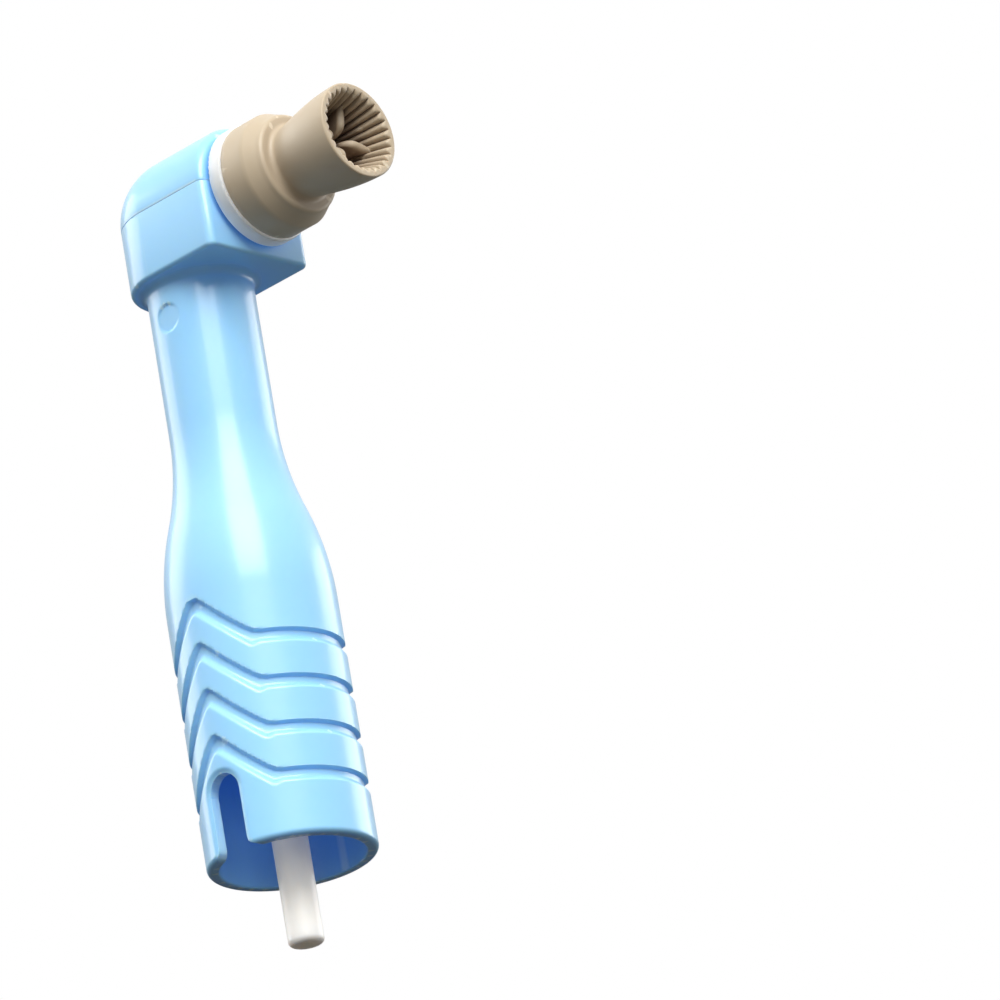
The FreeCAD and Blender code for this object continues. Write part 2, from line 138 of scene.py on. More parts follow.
class Finishes(bpy.types.PropertyGroup):
    blue: colour("Blue plastic", "Body of the sleeve, neck and head", (0.33, 0.65, 0.93, 1))
    blue_deep: colour("Deep blue", "Blue plastic where it is thick", (0.28, 0.60, 0.92, 1))
    # Painted highlight: a paler blue laid on convex edges, for light through the thin plastic there.
    blue_edge_highlight: colour("Blue edges", "Blue plastic at its thin edges", (0.70, 0.90, 0.98, 1))
    # Painted shade: a darker, deeper blue laid where light hardly reaches.
    blue_painted_shade: colour("Hollow blue", "Blue plastic in its hollows", (0.05, 0.30, 0.72, 1))
    blue_glow: colour("Blue glow", "Light passed on inside the blue plastic", (0.03, 0.20, 0.80, 1))
    white: colour("White acetal", "Drive shaft and rotor", (0.88, 0.86, 0.83, 1))
    white_warm: colour("Warm acetal", "Slight yellowing of the acetal", (0.90, 0.86, 0.76, 1))
    white_glow: colour("Acetal glow", "Light passed on inside the acetal", (1.0, 0.95, 0.90, 1))
    tan: colour("Tan rubber", "Soft cup", (0.51, 0.42, 0.295, 1))
    tan_dark: colour("Dark tan", "Cloudy darker patches in the rubber", (0.46, 0.37, 0.255, 1))
    # Painted highlight: a paler tan laid on convex edges, for light through the thin rubber there.
    tan_edge_highlight: colour("Tan edges", "Rubber at its thin edges", (0.74, 0.65, 0.50, 1))
    # Painted shade: a dark brown laid where light hardly reaches.
    tan_painted_shade: colour("Hollow tan", "Rubber in its hollows", (0.16, 0.09, 0.06, 1))
    tan_glow: colour("Tan glow", "Light passed on inside the rubber", (0.0, 0.0, 0.0, 1))


class Studio(bpy.types.PropertyGroup):
    aim: FloatVectorProperty(name="Aim", description="Point the camera looks at", size=3,
                             default=(12.33 * MM, 11.61 * MM, 22.12 * MM), subtype="TRANSLATION")
    azimuth: FloatProperty(name="Azimuth", description="Camera's direction about Z, from +X",
                           default=math.radians(-49.15), subtype="ANGLE")
    elevation: FloatProperty(name="Elevation", description="Camera's height above the aim",
                             default=math.radians(-20.87), subtype="ANGLE")
    roll: FloatProperty(name="Roll", description="Turn about the line of sight",
                        default=math.radians(-10.0), subtype="ANGLE")
    distance: length("Distance", "Camera to aim", 522.2 * MM)
    lens: FloatProperty(name="Lens", description="Focal length in millimetres", default=290.9, min=1)
    floor_gap: length("Floor gap", "Space below the shank's tip", 0.4 * MM)
    floor_half: length("Floor half size", "Half the floor's side", 1.2)


# Materials


def new_group(name, inputs, outputs):
    """An empty shader node group with float inputs as (name, default) and float outputs by name."""
    group = bpy.data.node_groups.new(name, "ShaderNodeTree")
    for label, default in inputs:
        socket = group.interface.new_socket(label, in_out="INPUT", socket_type="NodeSocketFloat")
        socket.default_value = default
    for label in outputs:
        group.interface.new_socket(label, in_out="OUTPUT", socket_type="NodeSocketFloat")
    return group, group.nodes.new("NodeGroupInput"), group.nodes.new("NodeGroupOutput")


def math_node(nodes, operation, first=None, second=None):
    """A math node, with either of its numbers set if given."""
    node = nodes.new("ShaderNodeMath")
    node.operation = operation
    if first is not None:
        node.inputs[0].default_value = first
    if second is not None:
        node.inputs[1].default_value = second
    return node


def moulded_surface_group():
    """Everything uneven about a moulded surface.

    Height is the fine peel, Cloud the slow change of colour and Roughness the same clouds between two
    limits, all on Object coordinates. Hollow is high where light hardly reaches and masks painted shade,
    Seep is high part of the way in and low again in tight gaps, and Edge is high where vertices lie on
    convex edges and masks a painted highlight there.
    """
    name = "Moulded surface"
    if name in bpy.data.node_groups:
        return bpy.data.node_groups[name]
    group, given, result = new_group(
        name,
        [("Peel scale", 900.0), ("Cloud scale", 120.0), ("Low", 0.0), ("High", 1.0), ("Reach", 5 * MM)],
        ["Height", "Cloud", "Roughness", "Hollow", "Seep", "Edge"])
    nodes, links = group.nodes, group.links
    place = nodes.new("ShaderNodeTexCoord")
    peel = nodes.new("ShaderNodeTexNoise")
    peel.inputs["Detail"].default_value = 4.0
    cloud = nodes.new("ShaderNodeTexNoise")
    cloud.inputs["Detail"].default_value = 3.0
    spread = nodes.new("ShaderNodeMapRange")
    spread.inputs["From Min"].default_value = 0.3
    spread.inputs["From Max"].default_value = 0.7
    links.new(place.outputs["Object"], peel.inputs["Vector"])
    links.new(place.outputs["Object"], cloud.inputs["Vector"])
    links.new(given.outputs["Peel scale"], peel.inputs["Scale"])
    links.new(given.outputs["Cloud scale"], cloud.inputs["Scale"])
    links.new(cloud.outputs["Fac"], spread.inputs["Value"])
    links.new(given.outputs["Low"], spread.inputs["To Min"])
    links.new(given.outputs["High"], spread.inputs["To Max"])
    # Painted shade mask: one less the ambient occlusion, sharpened; Seep is that mask times the occlusion.
    around = nodes.new("ShaderNodeAmbientOcclusion")
    around.samples = 8
    hollow = math_node(nodes, "SUBTRACT", first=1.0)
    sharpen = math_node(nodes, "POWER", second=1.8)
    seep = math_node(nodes, "MULTIPLY")
    links.new(given.outputs["Reach"], around.inputs["Distance"])
    links.new(around.outputs["AO"], hollow.inputs[1])
    links.new(hollow.outputs["Value"], sharpen.inputs[0])
    links.new(sharpen.outputs["Value"], result.inputs["Hollow"])
    links.new(sharpen.outputs["Value"], seep.inputs[0])
    links.new(around.outputs["AO"], seep.inputs[1])
    links.new(seep.outputs["Value"], result.inputs["Seep"])
    # Painted highlight mask: convex edges found by Pointiness.
    shape = nodes.new("ShaderNodeNewGeometry")
    crest = nodes.new("ShaderNodeMapRange")
    crest.inputs["From Min"].default_value = 0.52
    crest.inputs["From Max"].default_value = 0.62
    crest.inputs["To Max"].default_value = 0.6
    links.new(shape.outputs["Pointiness"], crest.inputs["Value"])
    links.new(crest.outputs["Result"], result.inputs["Edge"])
    links.new(peel.outputs["Fac"], result.inputs["Height"])
    links.new(cloud.outputs["Fac"], result.inputs["Cloud"])
    links.new(spread.outputs["Result"], result.inputs["Roughness"])
    return group


def colour_mix(nodes, first=None, second=None):
    """A colour mix node, with either of its colours set if given."""
    mix = nodes.new("ShaderNodeMix")
    mix.data_type = "RGBA"
    if first is not None:
        mix.inputs["A"].default_value = first
    if second is not None:
        mix.inputs["B"].default_value = second
    return mix


def moulded_material(name, tints, reach, rough, peel_scale, cloud_scale, bump, extra):
    """A moulded finish: two close colours in slow clouds, uneven gloss and fine surface texture.

    The tints are base, second, edge, hollow and glow. Where light hardly reaches, the colour turns to
    the hollow one, a painted shade. On convex edges it turns part way to the edge one, a painted
    highlight for light through thin walls. The glow stands for light that the material passes on into
    its hollows.
    """
    base, second, edge, hollow, glow = tints
    material = bpy.data.materials.new(name)
    material.use_nodes = True
    nodes, links = material.node_tree.nodes, material.node_tree.links
    shader = nodes["Principled BSDF"]
    surface = nodes.new("ShaderNodeGroup")
    surface.node_tree = moulded_surface_group()
    surface.inputs["Reach"].default_value = reach
    surface.inputs["Peel scale"].default_value = peel_scale
    surface.inputs["Cloud scale"].default_value = cloud_scale
    surface.inputs["Low"].default_value, surface.inputs["High"].default_value = rough
    mix = colour_mix(nodes, first=base, second=second)
    # Painted shade: the colour turns to the darker hollow tint where light hardly reaches.
    sink = colour_mix(nodes, second=hollow)
    # Painted highlight: convex edges turn part way to the paler edge tint, for light through thin walls.
    rim = colour_mix(nodes, second=edge)
    seep = colour_mix(nodes, first=(0, 0, 0, 1), second=glow)
    height = nodes.new("ShaderNodeBump")
    height.inputs["Strength"].default_value = bump
    height.inputs["Distance"].default_value = 0.02 * MM
    links.new(surface.outputs["Cloud"], mix.inputs["Factor"])
    links.new(surface.outputs["Hollow"], sink.inputs["Factor"])
    links.new(mix.outputs["Result"], sink.inputs["A"])
    links.new(surface.outputs["Edge"], rim.inputs["Factor"])
    links.new(sink.outputs["Result"], rim.inputs["A"])
    links.new(rim.outputs["Result"], shader.inputs["Base Color"])
    links.new(surface.outputs["Seep"], seep.inputs["Factor"])
    links.new(seep.outputs["Result"], shader.inputs["Emission Color"])
    shader.inputs["Emission Strength"].default_value = 1.0
    links.new(surface.outputs["Roughness"], shader.inputs["Roughness"])
    links.new(surface.outputs["Height"], height.inputs["Height"])
    links.new(height.outputs["Normal"], shader.inputs["Normal"])
    for socket, value in extra.items():
        shader.inputs[socket].default_value = value
    return material


def blue_plastic():
    tints = bpy.context.scene.prophy_finishes
    return moulded_material(
        "glossy_blue_plastic",
        (tints.blue, tints.blue_deep, tints.blue_edge_highlight, tints.blue_painted_shade, tints.blue_glow),
        reach=5 * MM, rough=(0.28, 0.38), peel_scale=700, cloud_scale=90, bump=0.05,
        extra={"Coat Weight": 0.3, "Coat Roughness": 0.12, "IOR": 1.5, "Subsurface Weight": 0.4,
               "Subsurface Radius": (0.5, 0.8, 1.2), "Subsurface Scale": 0.6 * MM})


def white_acetal():
    tints = bpy.context.scene.prophy_finishes
    return moulded_material(
        "milky_white_acetal", (tints.white, tints.white_warm, tints.white, tints.white, tints.white_glow),
        reach=10 * MM, rough=(0.28, 0.42), peel_scale=900, cloud_scale=110, bump=0.15,
        extra={"IOR": 1.48, "Subsurface Weight": 0.9, "Subsurface Radius": (1.0, 0.9, 0.8),
               "Subsurface Scale": 2.0 * MM})


def tan_rubber():
    tints = bpy.context.scene.prophy_finishes
    return moulded_material(
        "soft_tan_rubber", (tints.tan, tints.tan_dark, tints.tan_edge_highlight, tints.tan_painted_shade, tints.tan_glow),
        reach=3.2 * MM, rough=(0.42, 0.6), peel_scale=1400, cloud_scale=160, bump=0.25,
        extra={"IOR": 1.5, "Subsurface Weight": 0.15, "Subsurface Radius": (1.0, 0.75, 0.5),
               "Subsurface Scale": 0.6 * MM, "Sheen Weight": 0.15, "Sheen Roughness": 0.5})


def finish_for(slot):
    """The finish of a material slot, made the first time it is asked for."""
    name, make = {
        "blue_plastic": ("glossy_blue_plastic", blue_plastic),
        "white_acetal": ("milky_white_acetal", white_acetal),
        "tan_rubber": ("soft_tan_rubber", tan_rubber),
    }[slot]
    return bpy.data.materials.get(name) or make()


# Mesh helpers


def arc_points(centre, radius, start, end, steps):
    """Points on a circle in a half plane, from start to end in degrees, both ends included."""
    angles = [math.radians(start + (end - start) * i / steps) for i in range(steps + 1)]
    return [(centre[0] + radius * math.cos(a), centre[1] + radius * math.sin(a)) for a in angles]


def line_points(start, end, step):
    """Points between two ends, about a step apart, without the first one."""
    count = max(1, round(math.hypot(end[0] - start[0], end[1] - start[1]) / step))
    return [(start[0] + (end[0] - start[0]) * i / count, start[1] + (end[1] - start[1]) * i / count)
            for i in range(1, count + 1)]


def spin_about_z(points, steps):
    """A closed solid turned about Z from (radius, height) points that start and end on the axis."""
    bm = bmesh.new()
    chain = [bm.verts.new((r, 0, z)) for r, z in points]
    return spin_chain(bm, chain, Vector((0, 0, 0)), UP, steps)


def spin_about_cup_axis(points, steps):
    """A closed solid turned about the cup's axis from (station, radius) points."""
    bm = bmesh.new()
    chain = [bm.verts.new((x, 0, AXIS_Z - r)) for x, r in points]
    return spin_chain(bm, chain, CUP_CENTRE, OUT, steps)


def spin_chain(bm, chain, centre, axis, steps):
    """Join the points of a profile and turn it once round an axis into a closed solid."""
    edges = [bm.edges.new(pair) for pair in zip(chain, chain[1:])]
    bmesh.ops.spin(bm, geom=chain + edges, cent=centre, axis=axis, angle=2 * math.pi, steps=steps,
                   use_merge=True, use_duplicate=False)
    bmesh.ops.remove_doubles(bm, verts=bm.verts, dist=SMALL)
    bmesh.ops.recalc_face_normals(bm, faces=bm.faces)
    return bm


def rod(radius, start, end, steps=64):
    """A round bar on the cup's axis."""
    return spin_about_cup_axis([(start, 0), (start, radius), (end, radius), (end, 0)], steps)


def object_from(bm, name):
    mesh = bpy.data.meshes.new(name)
    bm.to_mesh(mesh)
    bm.free()
    piece = bpy.data.objects.new(name, mesh)
    bpy.context.scene.collection.objects.link(piece)
    return piece


def combine(piece, steps):
    """Apply boolean steps, (operation, bmesh) in order, to a piece, and remove the tools."""
    tools = []
    for operation, bm in steps:
        tool = object_from(bm, "tool")
        modifier = piece.modifiers.new("boolean", "BOOLEAN")
        modifier.operation = operation
        modifier.solver = "EXACT"
        modifier.object = tool
        tools.append(tool)
    bpy.context.view_layer.update()
    graph = bpy.context.evaluated_depsgraph_get()
    done = bpy.data.meshes.new_from_object(piece.evaluated_get(graph))
    piece.modifiers.clear()
    piece.data = done
    for tool in tools:
        bpy.data.objects.remove(tool)


def finish_piece(piece, body, slot, sharp=35):
    """Shade smooth with sharp creases, give the finish, and fix the piece to its body."""
    mesh = piece.data
    mesh.materials.clear()
    mesh.materials.append(finish_for(slot))
    mesh.polygons.foreach_set("use_smooth", [True] * len(mesh.polygons))
    mesh.set_sharp_from_angle(angle=math.radians(sharp))
    mesh.update()
    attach(piece, body)


def ease(value):
    """Smooth step from 0 to 1."""
    value = min(1.0, max(0.0, value))
    return value * value * (3 - 2 * value)


# Housing


def neck_top(sizes):
    return AXIS_Z - sizes.head_height


def handle_profile(sizes):
    """Outside of the sleeve, taper, neck and flare as (radius, height), closed at the axis."""
    rounding = sizes.mouth_round
    top = neck_top(sizes)
    taper_top = sizes.sleeve_length + sizes.taper_length
    drop = SLEEVE_R - sizes.neck_radius
    bend = (drop ** 2 + sizes.taper_length ** 2) / (4 * drop)
    sweep = math.degrees(math.asin(sizes.taper_length / 2 / bend))
    groove_step, mark_step, plain_step = 0.085 * MM, 0.09 * MM, 0.45 * MM
    beside = 1.2 * MM
    flare = sizes.neck_flare
    points = [(0, 0)]
    points += arc_points((SLEEVE_R - rounding, rounding), rounding, -90, 0, 8)
    points += line_points((SLEEVE_R, rounding), (SLEEVE_R, sizes.sleeve_length), groove_step)
    points += arc_points((SLEEVE_R - bend, sizes.sleeve_length), bend, 0, sweep, 16)[1:]
    points += arc_points((sizes.neck_radius + bend, taper_top), bend, 180 + sweep, 180, 16)[1:]
    mark = top - sizes.dimple_below
    points += line_points(points[-1], (sizes.neck_radius, mark - beside), plain_step)
    points += line_points(points[-1], (sizes.neck_radius, mark + beside), mark_step)
    points += line_points(points[-1], (sizes.neck_radius, top - flare), plain_step)
    points += arc_points((sizes.neck_radius + flare, top - flare), flare, 180, 92, 10)[1:]
    inside = points[-1][0]
    return points + [(inside, top + sizes.head_wall / 2), (0, top + sizes.head_wall / 2)]


def groove_drop(sizes, x, z):
    """How far the grip grooves sink the sleeve's surface at a place seen along Y.

    Each groove has a steep wall above, a level bed and a gentler ramp below. It climbs at 45 degrees to
    the chevron's point and runs level as a ring elsewhere, with the bends rounded.
    """
    lean = 0.25 * MM
    bend_run, wall_run = 0.5 * MM, 0.16 * MM
    bed, ramp_run = 0.6 * sizes.groove_width, 0.4 * sizes.groove_width
    near = math.sqrt(x * x + lean * lean) - lean
    rise = sizes.chevron_half - near
    slope = ease(rise / bend_run + 0.5)
    lift = 0.5 * (rise + math.sqrt(rise * rise + lean * lean))
    stretch = 1 + (math.sqrt(2) - 1) * slope
    deepest = 0.0
    for i in range(sizes.groove_count):
        upper = sizes.groove_first + i * sizes.groove_pitch + lift
        across = (upper - z) / stretch
        wall = ease(across / wall_run)
        ramp = 1 - ease((across - bed) / ramp_run)
        deepest = max(deepest, wall * ramp)
    return deepest * sizes.groove_depth


def slot_distance(sizes, x, z):
    """Distance outside the locating slot's outline, seen along Y."""
    half = sizes.slot_width / 2
    above = z - (sizes.slot_top - half)
    return math.hypot(x, above) - half if above > 0 else abs(x) - half


def relieve_handle(bm, sizes):
    """Sink the grooves, the moulding marks and the slot's softened edge into the outside."""
    mark = neck_top(sizes) - sizes.dimple_below
    mark_depth, mark_edge, mark_margin = 0.14 * MM, 0.14 * MM, 0.2 * MM
    flat = sizes.neck_radius - mark_depth
    slot_sink, slot_run = 0.16 * MM, 0.35 * MM
    pip_sink, pip_radius, pip_edge, pip_below = 0.06 * MM, 0.4 * MM, 0.12 * MM, 0.75 * MM
    last = sizes.groove_count - 1
    pips = [sizes.groove_first + i * sizes.groove_pitch + sizes.chevron_half - pip_below for i in (0, last)]
    for vert in bm.verts:
        x, y, z = vert.co
        radius = math.hypot(x, y)
        if radius < sizes.neck_radius - SMALL:
            continue
        sink = 0.0
        if z < sizes.sleeve_length and radius > SLEEVE_R - sizes.mouth_round:
            sink = groove_drop(sizes, x, z)
            if y < 0:
                edge = slot_distance(sizes, x, z)
                sink += slot_sink * (1 - ease(edge / slot_run))
                for pip in pips:
                    sink += pip_sink * (1 - ease((math.hypot(x, z - pip) - pip_radius) / pip_edge))
        elif abs(z - mark) < sizes.dimple_radius + mark_margin and y < 0:
            inside = 1 - ease((math.hypot(x, z - mark) - sizes.dimple_radius) / mark_edge + 0.5)
            sink = inside * max(0.0, radius - flat * radius / abs(y))
        vert.co = Vector((x * (1 - sink / radius), y * (1 - sink / radius), z))


def head_prism(radius, front, low, high, corner):
    """Prism with a half-round back and a flat front with rounded corners."""
    bm = bmesh.new()
    first = bm.verts.new((0, -radius, low))
    spun = bmesh.ops.spin(bm, geom=[first], cent=(0, 0, low), axis=UP, angle=-math.pi, steps=96)
    last = next(g for g in spun["geom_last"] if isinstance(g, bmesh.types.BMVert))
    right = bm.verts.new((front, radius, low))
    left = bm.verts.new((front, -radius, low))
    for pair in ((last, right), (right, left), (left, first)):
        bm.edges.new(pair)
    plan = bmesh.ops.contextual_create(bm, geom=bm.edges[:])["faces"]
    raised = bmesh.ops.extrude_face_region(bm, geom=plan)
    bmesh.ops.translate(bm, vec=(0, 0, high - low),
                        verts=[g for g in raised["geom"] if isinstance(g, bmesh.types.BMVert)])
    bmesh.ops.recalc_face_normals(bm, faces=bm.faces)
    upright = [e for e in bm.edges if all(v.co.x > front - SMALL for v in e.verts)
               and abs(e.verts[0].co.z - e.verts[1].co.z) > SMALL]
    if corner > 0:
        soften(bm, upright, corner, 10)
    return bm


def soften(bm, edges, offset, segments):
    """Round edges over."""
    bmesh.ops.bevel(bm, geom=edges, offset=offset, offset_type="OFFSET", affect="EDGES",
                    segments=segments, profile=0.5, material=-1, clamp_overlap=True)


def level_edges(bm, z):
    """Outline edges of the flat face at a height."""
    return [e for e in bm.edges if all(abs(v.co.z - z) < SMALL for v in e.verts)
            and any(abs(f.normal.z) < 0.5 for f in e.link_faces)]


def head_block(sizes):
    """Lower half of the head, before it is hollowed."""
    low = neck_top(sizes)
    bm = head_prism(HEAD_R, HEAD_FRONT, low, AXIS_Z, sizes.head_corner)
    soften(bm, level_edges(bm, low), sizes.head_edge, 6)
    soften(bm, level_edges(bm, AXIS_Z), sizes.parting, 3)
    return bm


def passages(sizes):
    """Socket for the handpiece, its narrowing and the drive shaft's bearing bore."""
    bore, lip = sizes.sleeve_bore, 0.15 * MM
    bearing_in_taper, shoulder = 4.5 * MM, 0.4 * MM
    top = neck_top(sizes) + sizes.head_wall + OVERCUT
    start = sizes.sleeve_length + sizes.taper_length - bearing_in_taper
    points = [(0, -OVERCUT), (bore + lip, -OVERCUT)]
    points += arc_points((bore + lip, lip), lip, 270, 180, 6)
    points += [(bore, sizes.socket_depth), (sizes.neck_bore + shoulder, start), (sizes.neck_bore, start)]
    points += [(sizes.neck_bore, top), (0, top)]
    return spin_about_z(points, 128)


def slot_cutter(sizes):
    """Round-topped slot, flared where it meets the mouth."""
    half, flare = sizes.slot_width / 2, sizes.slot_flare
    outline = arc_points((0, sizes.slot_top - half), half, 0, 180, 24)
    outline += arc_points((-half - flare, flare), flare, 0, -90, 8)
    outline += [(-half - flare, -OVERCUT), (half + flare, -OVERCUT)]
    outline += arc_points((half + flare, flare), flare, 270, 180, 8)
    bm = bmesh.new()
    ring = [bm.verts.new((x, -SLEEVE_R - OVERCUT, z)) for x, z in outline]
    face = bm.faces.new(ring)
    raised = bmesh.ops.extrude_face_region(bm, geom=[face])
    bmesh.ops.translate(bm, vec=(0, SLEEVE_R, 0),
                        verts=[g for g in raised["geom"] if isinstance(g, bmesh.types.BMVert)])
    bmesh.ops.recalc_face_normals(bm, faces=bm.faces)
    return bm


def journal_hole(sizes):
    """Hole in the head's front wall for the rotor's journal."""
    return rod(sizes.journal_bore, HEAD_FRONT - sizes.front_wall - OVERCUT, HEAD_FRONT + OVERCUT)


def pivot_hole(sizes):
    """Blind hole in the head's back wall for the rotor's rear pivot."""
    return rod(sizes.pivot_bore, BACK_SKIN - HEAD_R, 0)


class PROPHY_OT_body(bpy.types.Operator):
    """Build the blue moulding: grooved sleeve, taper, neck and the lower half of the head"""
    bl_idname = "prophy.build_body"
    bl_label = "Build body"

    def execute(self, context):
        sizes = context.scene.prophy_housing
        bm = spin_about_z(handle_profile(sizes), 224)
        relieve_handle(bm, sizes)
        piece = object_from(bm, "housing_body")
        floor = neck_top(sizes) + sizes.head_wall
        front = HEAD_FRONT - sizes.front_wall
        cavity = head_prism(HEAD_R - sizes.head_wall, front, floor, AXIS_Z + OVERCUT, 0)
        combine(piece, [
            ("UNION", head_block(sizes)),
            ("DIFFERENCE", cavity),
            ("DIFFERENCE", passages(sizes)),
            ("DIFFERENCE", journal_hole(sizes)),
            ("DIFFERENCE", pivot_hole(sizes)),
            ("DIFFERENCE", slot_cutter(sizes)),
        ])
        finish_piece(piece, "housing", "blue_plastic")
        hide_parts("body")
        return {"FINISHED"}


def bullet_profile(radius, front, corner):
    """Round-nosed rod, its nose at the back, as (station, radius)."""
    points = [(front, 0)]
    if corner:
        points += arc_points((front - corner, radius - corner), corner, 0, 90, 8)
    else:
        points.append((front, radius))
    return points + arc_points((0, 0), radius, 90, 180, 40)


class PROPHY_OT_cap(bpy.types.Operator):
    """Build the rounded cap that closes the head over the gears"""
    bl_idname = "prophy.build_cap"
    bl_label = "Build head cap"

    def execute(self, context):
        sizes = context.scene.prophy_housing
        bm = spin_about_cup_axis(bullet_profile(HEAD_R, HEAD_FRONT, sizes.head_corner), 144)
        cut = bmesh.ops.bisect_plane(bm, geom=bm.verts[:] + bm.edges[:] + bm.faces[:], plane_co=CUP_CENTRE,
                                     plane_no=-UP, clear_outer=True, dist=SMALL)
        rim = [g for g in cut["geom_cut"] if isinstance(g, bmesh.types.BMEdge)]
        bmesh.ops.contextual_create(bm, geom=rim)
        bmesh.ops.recalc_face_normals(bm, faces=bm.faces)
        soften(bm, level_edges(bm, AXIS_Z), sizes.parting, 3)
        piece = object_from(bm, "housing_cap")
        cavity = bullet_profile(HEAD_R - sizes.head_wall, HEAD_FRONT - sizes.front_wall, 0)
        # The cavity is cut last: cut first, it leaves the holes' ends behind as stray faces.
        combine(piece, [
            ("DIFFERENCE", pivot_hole(sizes)),
            ("DIFFERENCE", journal_hole(sizes)),
            ("DIFFERENCE", spin_about_cup_axis(cavity, 72)),
        ])
        finish_piece(piece, "housing", "blue_plastic")
        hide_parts("head_cap")
        return {"FINISHED"}


# Cup


def waist_end(sizes):
    """Station where the flare towards the rim begins."""
    return CUP_BACK + sizes.skirt_length + sizes.shoulder_length + 2 * sizes.waist_round


def flare_radius(sizes, x):
    """Outside of the cup between the waist and the rim."""
    share = max(0.0, (x - waist_end(sizes)) / (CUP_RIM - waist_end(sizes)))
    return sizes.waist_radius + (sizes.rim_radius - sizes.waist_radius) * math.sin(math.pi / 2 * share)


def hollow_radius(sizes, depth):
    """Wall of the hollow between the ribs, from the lip down to the floor."""
    lip = sizes.rim_radius - sizes.rim_wall
    return lip + (sizes.floor_radius - lip) * min(1.0, max(0.0, depth / sizes.depth)) ** 0.9


def cup_profile(sizes):
    """Skirt, shoulder, waist, flared rim and hollow as (station, radius), closed at the axis."""
    shoulder = CUP_BACK + sizes.skirt_length
    end = shoulder + sizes.shoulder_length
    bend = sizes.waist_round
    soft, back, dish = 0.12 * MM, 0.1 * MM, 0.25 * MM
    points = [(CUP_BACK, 0), (CUP_BACK, SKIRT_R - back), (CUP_BACK + back, SKIRT_R)]
    points += line_points(points[-1], (shoulder, SKIRT_R), 0.3 * MM)
    points += line_points(points[-1], (end, sizes.shoulder_radius), 0.15 * MM)
    points += arc_points((end, sizes.shoulder_radius - bend), bend, 62, 0, 8)
    points += arc_points((end + 2 * bend, sizes.waist_radius + bend), bend, 180, 262, 8)
    start, stop = end + 2 * bend, CUP_RIM - soft
    stations = [start + (stop - start) * i / 20 for i in range(21)]
    points += [(x, flare_radius(sizes, x)) for x in stations]
    points += arc_points((stop, sizes.rim_radius - soft), soft, 75, 0, 5)
    lip = sizes.rim_radius - sizes.rim_wall
    points += line_points(points[-1], (CUP_RIM, lip), 0.06 * MM)
    rings = 44
    depths = [sizes.depth * (i / rings) ** 1.6 for i in range(1, rings + 1)]
    points += [(CUP_RIM - depth, hollow_radius(sizes, depth)) for depth in depths]
    floor = CUP_RIM - sizes.depth
    points += line_points(points[-1], (floor - dish, 0), 0.25 * MM)
    return points


def raise_ribs(bm, sizes):
    """Push the hollow's wall into round-ended ribs that fade out on the floor."""
    nose, fade = 0.2 * MM, 1.6 * MM
    for vert in bm.verts:
        x, y, z = vert.co
        side = Vector((0, y, z - AXIS_Z))
        radius, depth = side.length, CUP_RIM - x
        wall = (flare_radius(sizes, x) + hollow_radius(sizes, depth)) / 2
        if depth > sizes.depth + SMALL or radius > wall - SMALL or radius < sizes.floor_radius / 2:
            continue
        if depth < SMALL and radius > sizes.rim_radius - sizes.rim_wall + SMALL:
            continue
        turn = math.atan2(side.y, side.z)
        crown = abs(math.cos(turn * sizes.rib_count / 2)) ** 0.7
        front = math.sqrt(1 - (1 - min(depth, nose) / nose * 0.97 - 0.03) ** 2)
        reach = sizes.rib_height * crown * front * ease((sizes.depth - depth) / fade + 0.15)
        vert.co = CUP_CENTRE + OUT * x + side * (1 - reach / radius)


def web_leaf(sizes, turn):
    """A radial leaf in the hollow: rooted in wall and floor, thickest half way, with a round crest."""
    bm = bmesh.new()
    bmesh.ops.create_cube(bm, size=2)
    bmesh.ops.subdivide_edges(bm, edges=bm.edges, cuts=17, use_grid_fill=True)
    spin = Matrix.Rotation(-turn, 3, "X")
    tip, dip, rooted = 0.35 * MM, 0.75 * MM, 0.08 * MM
    bottom = sizes.depth + 0.1 * MM
    for vert in bm.verts:
        along = (vert.co.x + 1) / 2
        across = math.sin(math.pi / 2 * vert.co.y)
        up = (vert.co.z + 1) / 2
        half = sizes.web_thickness / 2 * math.sin(math.pi * (0.06 + 0.88 * along)) ** 0.6
        crest = sizes.web_below + dip * max(0.0, 1 - along / 0.35) ** 2
        crest += half * (1 - math.sqrt(max(0.0, 1 - across * across)))
        depth = bottom + (crest - bottom) * up
        root = hollow_radius(sizes, depth) + rooted
        radius = tip + (root - tip) * along
        draft = 1 + 0.25 * (1 - up)
        vert.co = CUP_CENTRE + spin @ Vector((CUP_RIM - depth, across * half * draft, radius))
    bmesh.ops.recalc_face_normals(bm, faces=bm.faces)
    return bm


def button_socket(sizes):
    """Room for the rotor's button, a hair larger than the button itself."""
    neck = CUP_BACK + sizes.button_neck
    hair = 0.01 * MM
    return spin_about_cup_axis([
        (CUP_BACK - OVERCUT, 0), (CUP_BACK - OVERCUT, sizes.button_neck_radius + hair),
        (neck - hair, sizes.button_neck_radius + hair), (neck - hair, sizes.button_radius + hair),
        (neck + sizes.button_height + hair, sizes.button_radius + hair),
        (neck + sizes.button_height + hair, 0)], 96)


class PROPHY_OT_cup(bpy.types.Operator):
    """Build the soft cup with its ribs and leaf-shaped webs"""
    bl_idname = "prophy.build_cup"
    bl_label = "Build cup"

    def execute(self, context):
        sizes = context.scene.prophy_cup
        bm = spin_about_cup_axis(cup_profile(sizes), sizes.rib_count * 8)
        raise_ribs(bm, sizes)
        piece = object_from(bm, "soft_cup")
        turns = [sizes.web_turn + 2 * math.pi * i / sizes.web_count for i in range(sizes.web_count)]
        combine(piece, [("UNION", web_leaf(sizes, turn)) for turn in turns]
                + [("DIFFERENCE", button_socket(sizes))])
        finish_piece(piece, "driven", "tan_rubber", sharp=60)
        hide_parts("prophy_cup")
        return {"FINISHED"}


